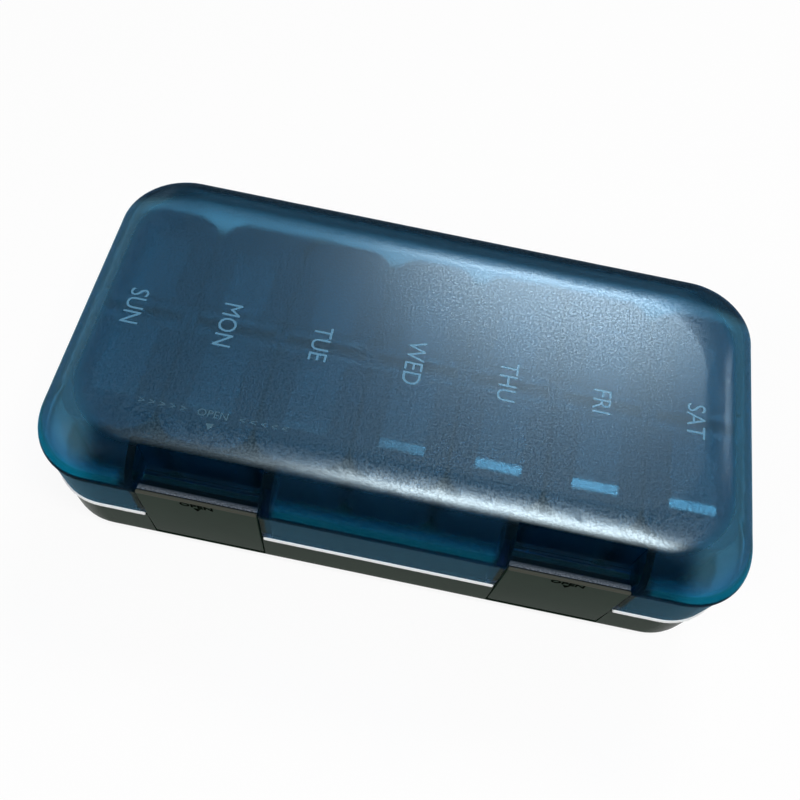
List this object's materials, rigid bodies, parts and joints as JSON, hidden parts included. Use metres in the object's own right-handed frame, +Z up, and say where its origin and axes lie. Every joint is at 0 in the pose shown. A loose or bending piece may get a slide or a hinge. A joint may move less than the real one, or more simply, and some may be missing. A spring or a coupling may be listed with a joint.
{
  "type": "weekly pill organizer",
  "caption": "Low rounded carry case with a hinged frosted lid, front latches and a soft seal, holding a row of removable day boxes with flip lids.",
  "frame": {"origin": "on the surface that the case stands on, under the middle of its overall box", "axes": "+X along the week from Sunday to Saturday, +Y towards the rear hinges, +Z up"},
  "size_m": [0.165, 0.0908, 0.045],
  "materials": {
    "lid_plastic": "translucent blue, finely frosted on top and smoother on the sides",
    "base_plastic": "dark olive grey, satin gloss",
    "latch_plastic": "dark olive grey, satin gloss with a light grey textured ledge",
    "seal": "white silicone",
    "pin_steel": "drawn steel pin",
    "day_box_plastic": "translucent slate blue",
    "flip_lid_plastic": "translucent slate blue with a lighter raised panel"
  },
  "bodies": {
    "case_base": {"base_shell": "base_plastic", "rim_seal": "seal", "latch_pin_left": "pin_steel", "latch_pin_right": "pin_steel", "hinge_pin_left": "pin_steel", "hinge_pin_right": "pin_steel", "sun_box": "day_box_plastic", "mon_box": "day_box_plastic", "tue_box": "day_box_plastic", "wed_box": "day_box_plastic", "thu_box": "day_box_plastic", "fri_box": "day_box_plastic", "sat_box": "day_box_plastic"},
    "case_lid": {"lid_shell": "lid_plastic"},
    "latch_left": {"latch_left": "latch_plastic"},
    "latch_right": {"latch_right": "latch_plastic"},
    "sun_front_lid": {"sun_front_lid": "flip_lid_plastic"},
    "sun_rear_lid": {"sun_rear_lid": "flip_lid_plastic"},
    "mon_front_lid": {"mon_front_lid": "flip_lid_plastic"},
    "mon_rear_lid": {"mon_rear_lid": "flip_lid_plastic"},
    "tue_front_lid": {"tue_front_lid": "flip_lid_plastic"},
    "tue_rear_lid": {"tue_rear_lid": "flip_lid_plastic"},
    "wed_front_lid": {"wed_front_lid": "flip_lid_plastic"},
    "wed_rear_lid": {"wed_rear_lid": "flip_lid_plastic"},
    "thu_front_lid": {"thu_front_lid": "flip_lid_plastic"},
    "thu_rear_lid": {"thu_rear_lid": "flip_lid_plastic"},
    "fri_front_lid": {"fri_front_lid": "flip_lid_plastic"},
    "fri_rear_lid": {"fri_rear_lid": "flip_lid_plastic"},
    "sat_front_lid": {"sat_front_lid": "flip_lid_plastic"},
    "sat_rear_lid": {"sat_rear_lid": "flip_lid_plastic"}
  },
  "joints": [
    {"name": "case_lid_hinge", "type": "hinge", "parent": "case_base", "child": "case_lid", "pos_m": [0, 0.04298, 0.01865], "axis": [-1, 0, 0], "range_deg": [0, 110]},
    {"name": "latch_left_hinge", "type": "hinge", "parent": "case_base", "child": "latch_left", "pos_m": [-0.0421, -0.04232, 0.0075], "axis": [1, 0, 0], "range_deg": [0, 90]},
    {"name": "latch_right_hinge", "type": "hinge", "parent": "case_base", "child": "latch_right", "pos_m": [0.0421, -0.04232, 0.0075], "axis": [1, 0, 0], "range_deg": [0, 90]},
    {"name": "sun_front_flip", "type": "hinge", "parent": "case_base", "child": "sun_front_lid", "pos_m": [-0.0675, -0.00352, 0.0359], "axis": [-1, 0, 0], "range_deg": [0, 90]},
    {"name": "sun_rear_flip", "type": "hinge", "parent": "case_base", "child": "sun_rear_lid", "pos_m": [-0.0675, 0.00148, 0.0359], "axis": [1, 0, 0], "range_deg": [0, 90]},
    {"name": "mon_front_flip", "type": "hinge", "parent": "case_base", "child": "mon_front_lid", "pos_m": [-0.045, -0.00352, 0.0359], "axis": [-1, 0, 0], "range_deg": [0, 90]},
    {"name": "mon_rear_flip", "type": "hinge", "parent": "case_base", "child": "mon_rear_lid", "pos_m": [-0.045, 0.00148, 0.0359], "axis": [1, 0, 0], "range_deg": [0, 90]},
    {"name": "tue_front_flip", "type": "hinge", "parent": "case_base", "child": "tue_front_lid", "pos_m": [-0.0225, -0.00352, 0.0359], "axis": [-1, 0, 0], "range_deg": [0, 90]},
    {"name": "tue_rear_flip", "type": "hinge", "parent": "case_base", "child": "tue_rear_lid", "pos_m": [-0.0225, 0.00148, 0.0359], "axis": [1, 0, 0], "range_deg": [0, 90]},
    {"name": "wed_front_flip", "type": "hinge", "parent": "case_base", "child": "wed_front_lid", "pos_m": [0, -0.00352, 0.0359], "axis": [-1, 0, 0], "range_deg": [0, 90]},
    {"name": "wed_rear_flip", "type": "hinge", "parent": "case_base", "child": "wed_rear_lid", "pos_m": [0, 0.00148, 0.0359], "axis": [1, 0, 0], "range_deg": [0, 90]},
    {"name": "thu_front_flip", "type": "hinge", "parent": "case_base", "child": "thu_front_lid", "pos_m": [0.0225, -0.00352, 0.0359], "axis": [-1, 0, 0], "range_deg": [0, 90]},
    {"name": "thu_rear_flip", "type": "hinge", "parent": "case_base", "child": "thu_rear_lid", "pos_m": [0.0225, 0.00148, 0.0359], "axis": [1, 0, 0], "range_deg": [0, 90]},
    {"name": "fri_front_flip", "type": "hinge", "parent": "case_base", "child": "fri_front_lid", "pos_m": [0.045, -0.00352, 0.0359], "axis": [-1, 0, 0], "range_deg": [0, 90]},
    {"name": "fri_rear_flip", "type": "hinge", "parent": "case_base", "child": "fri_rear_lid", "pos_m": [0.045, 0.00148, 0.0359], "axis": [1, 0, 0], "range_deg": [0, 90]},
    {"name": "sat_front_flip", "type": "hinge", "parent": "case_base", "child": "sat_front_lid", "pos_m": [0.0675, -0.00352, 0.0359], "axis": [-1, 0, 0], "range_deg": [0, 90]},
    {"name": "sat_rear_flip", "type": "hinge", "parent": "case_base", "child": "sat_rear_lid", "pos_m": [0.0675, 0.00148, 0.0359], "axis": [1, 0, 0], "range_deg": [0, 90]}
  ],
  "couplings": [
    {"joint": "sun_front_flip", "follows": "case_lid_hinge", "ratio": 0.8},
    {"joint": "sun_rear_flip", "follows": "case_lid_hinge", "ratio": 0.8},
    {"joint": "mon_front_flip", "follows": "case_lid_hinge", "ratio": 0.8},
    {"joint": "mon_rear_flip", "follows": "case_lid_hinge", "ratio": 0.8},
    {"joint": "tue_front_flip", "follows": "case_lid_hinge", "ratio": 0.8},
    {"joint": "tue_rear_flip", "follows": "case_lid_hinge", "ratio": 0.8},
    {"joint": "wed_front_flip", "follows": "case_lid_hinge", "ratio": 0.8},
    {"joint": "wed_rear_flip", "follows": "case_lid_hinge", "ratio": 0.8},
    {"joint": "thu_front_flip", "follows": "case_lid_hinge", "ratio": 0.8},
    {"joint": "thu_rear_flip", "follows": "case_lid_hinge", "ratio": 0.8},
    {"joint": "fri_front_flip", "follows": "case_lid_hinge", "ratio": 0.8},
    {"joint": "fri_rear_flip", "follows": "case_lid_hinge", "ratio": 0.8},
    {"joint": "sat_front_flip", "follows": "case_lid_hinge", "ratio": 0.8},
    {"joint": "sat_rear_flip", "follows": "case_lid_hinge", "ratio": 0.8}
  ]
}
